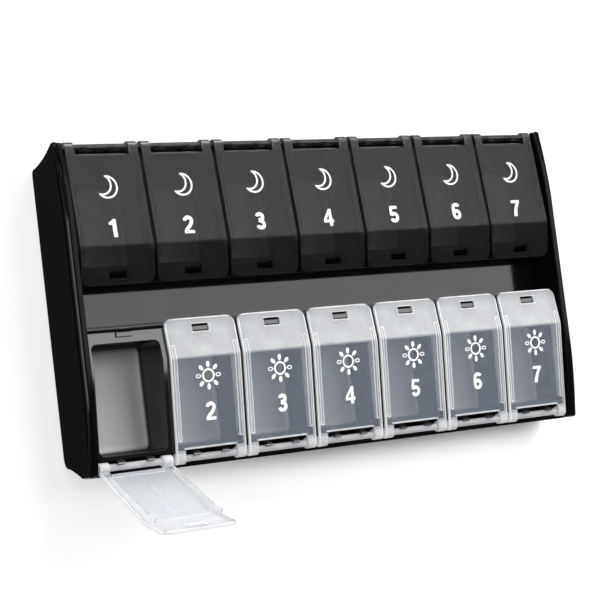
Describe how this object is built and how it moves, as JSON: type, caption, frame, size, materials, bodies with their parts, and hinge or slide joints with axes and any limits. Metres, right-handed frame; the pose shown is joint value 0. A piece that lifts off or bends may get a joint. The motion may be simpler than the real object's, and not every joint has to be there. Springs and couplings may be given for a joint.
{
  "type": "weekly pill organizer",
  "caption": "Flat black pill organizer with an evening row of smoked lids and a morning row of frosted lids, hinged at the outer edges.",
  "frame": {"origin": "centre of the underside of the shell, as the organizer lies on its back", "axes": "+X along the rows from the first day to the last, +Y from the morning row to the evening row, +Z the way the wells open"},
  "size_m": [0.225, 0.1439, 0.0659],
  "materials": {
    "shell_gloss_black": "high-gloss injection-moulded black",
    "well_black": "smooth injection-moulded black",
    "lid_smoked": "smoked translucent black with a fine satin grain",
    "lid_frosted": "clear natural plastic with a light frost",
    "foot_rubber": "matt black rubber"
  },
  "bodies": {
    "case": {"outer_shell": "shell_gloss_black", "left_end_plate": "shell_gloss_black", "right_end_plate": "shell_gloss_black", "morning_well_strip": "well_black", "evening_well_strip": "well_black", "centre_channel": "shell_gloss_black", "rubber_foot_1": "foot_rubber", "rubber_foot_2": "foot_rubber", "rubber_foot_3": "foot_rubber", "rubber_foot_4": "foot_rubber"},
    "morning_lid_1": {"morning_lid_1": "lid_frosted"},
    "morning_lid_2": {"morning_lid_2": "lid_frosted"},
    "morning_lid_3": {"morning_lid_3": "lid_frosted"},
    "morning_lid_4": {"morning_lid_4": "lid_frosted"},
    "morning_lid_5": {"morning_lid_5": "lid_frosted"},
    "morning_lid_6": {"morning_lid_6": "lid_frosted"},
    "morning_lid_7": {"morning_lid_7": "lid_frosted"},
    "evening_lid_1": {"evening_lid_1": "lid_smoked"},
    "evening_lid_2": {"evening_lid_2": "lid_smoked"},
    "evening_lid_3": {"evening_lid_3": "lid_smoked"},
    "evening_lid_4": {"evening_lid_4": "lid_smoked"},
    "evening_lid_5": {"evening_lid_5": "lid_smoked"},
    "evening_lid_6": {"evening_lid_6": "lid_smoked"},
    "evening_lid_7": {"evening_lid_7": "lid_smoked"}
  },
  "joints": [
    {"name": "morning_lid_1_hinge", "type": "hinge", "parent": "case", "child": "morning_lid_1", "pos_m": [-0.093, -0.0585, 0.0189], "axis": [1, 0, 0], "range_deg": [-114, 66]},
    {"name": "morning_lid_2_hinge", "type": "hinge", "parent": "case", "child": "morning_lid_2", "pos_m": [-0.062, -0.0585, 0.0189], "axis": [1, 0, 0], "range_deg": [0, 180]},
    {"name": "morning_lid_3_hinge", "type": "hinge", "parent": "case", "child": "morning_lid_3", "pos_m": [-0.031, -0.0585, 0.0189], "axis": [1, 0, 0], "range_deg": [0, 180]},
    {"name": "morning_lid_4_hinge", "type": "hinge", "parent": "case", "child": "morning_lid_4", "pos_m": [0, -0.0585, 0.0189], "axis": [1, 0, 0], "range_deg": [0, 180]},
    {"name": "morning_lid_5_hinge", "type": "hinge", "parent": "case", "child": "morning_lid_5", "pos_m": [0.031, -0.0585, 0.0189], "axis": [1, 0, 0], "range_deg": [0, 180]},
    {"name": "morning_lid_6_hinge", "type": "hinge", "parent": "case", "child": "morning_lid_6", "pos_m": [0.062, -0.0585, 0.0189], "axis": [1, 0, 0], "range_deg": [0, 180]},
    {"name": "morning_lid_7_hinge", "type": "hinge", "parent": "case", "child": "morning_lid_7", "pos_m": [0.093, -0.0585, 0.0189], "axis": [1, 0, 0], "range_deg": [0, 180]},
    {"name": "evening_lid_1_hinge", "type": "hinge", "parent": "case", "child": "evening_lid_1", "pos_m": [-0.093, 0.0585, 0.0189], "axis": [-1, 0, 0], "range_deg": [0, 180]},
    {"name": "evening_lid_2_hinge", "type": "hinge", "parent": "case", "child": "evening_lid_2", "pos_m": [-0.062, 0.0585, 0.0189], "axis": [-1, 0, 0], "range_deg": [0, 180]},
    {"name": "evening_lid_3_hinge", "type": "hinge", "parent": "case", "child": "evening_lid_3", "pos_m": [-0.031, 0.0585, 0.0189], "axis": [-1, 0, 0], "range_deg": [0, 180]},
    {"name": "evening_lid_4_hinge", "type": "hinge", "parent": "case", "child": "evening_lid_4", "pos_m": [0, 0.0585, 0.0189], "axis": [-1, 0, 0], "range_deg": [0, 180]},
    {"name": "evening_lid_5_hinge", "type": "hinge", "parent": "case", "child": "evening_lid_5", "pos_m": [0.031, 0.0585, 0.0189], "axis": [-1, 0, 0], "range_deg": [0, 180]},
    {"name": "evening_lid_6_hinge", "type": "hinge", "parent": "case", "child": "evening_lid_6", "pos_m": [0.062, 0.0585, 0.0189], "axis": [-1, 0, 0], "range_deg": [0, 180]},
    {"name": "evening_lid_7_hinge", "type": "hinge", "parent": "case", "child": "evening_lid_7", "pos_m": [0.093, 0.0585, 0.0189], "axis": [-1, 0, 0], "range_deg": [0, 180]}
  ]
}
